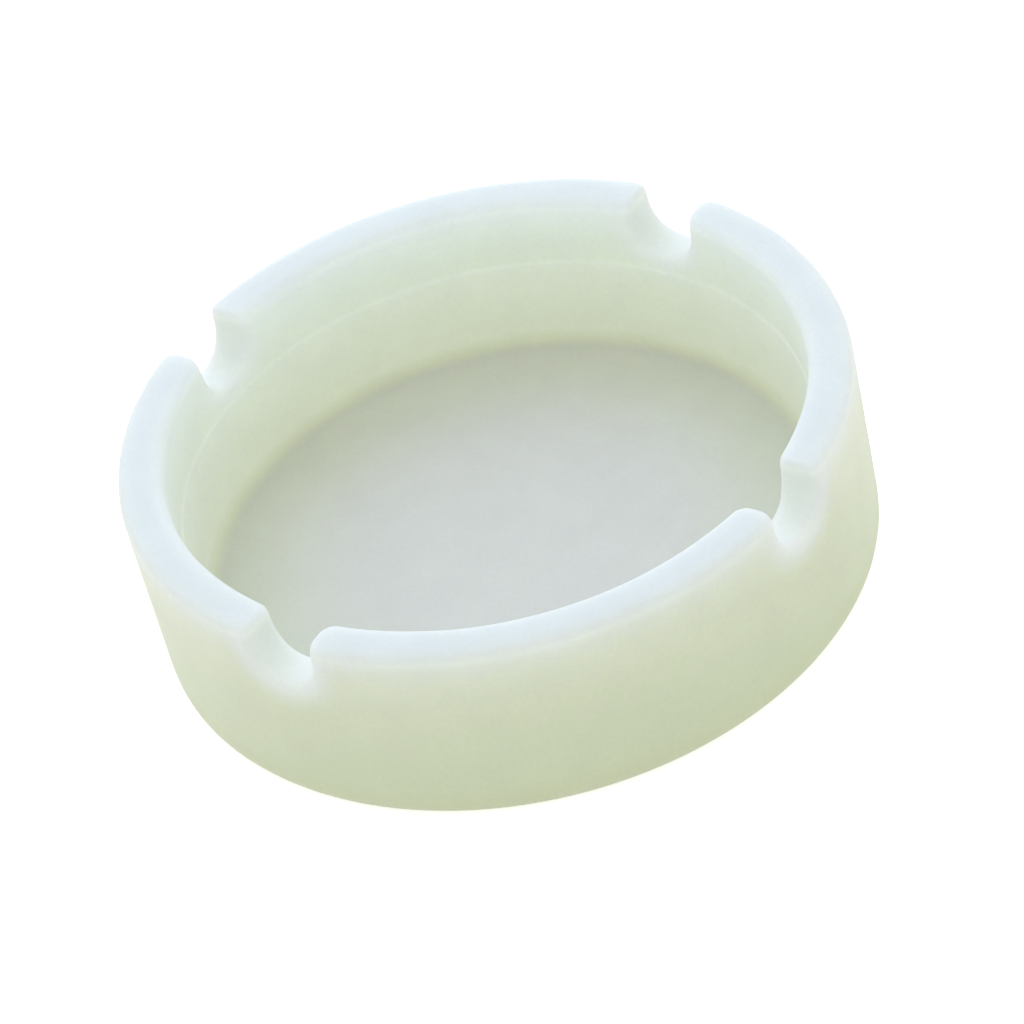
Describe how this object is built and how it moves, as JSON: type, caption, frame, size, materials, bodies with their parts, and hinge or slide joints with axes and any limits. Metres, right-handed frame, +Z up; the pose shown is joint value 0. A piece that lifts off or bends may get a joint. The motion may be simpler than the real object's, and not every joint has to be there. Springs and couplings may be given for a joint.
{
  "type": "silicone ashtray",
  "caption": "Round one-piece silicone ashtray with a thick rounded rim, half-round cigarette rests cut through it, and a flat floor and base.",
  "frame": {"origin": "centre of the flat base, on the surface that the ashtray stands on", "axes": "+Z up through the centre of the bowl, with +X, -X, +Y and -Y each running out through the middle of a rest notch"},
  "size_m": [0.0836, 0.0836, 0.024],
  "materials": {
    "silicone": "matt moulded silicone, slightly translucent, pale green-white"
  },
  "bodies": {
    "root": {"tray_body": "silicone"}
  },
  "joints": []
}
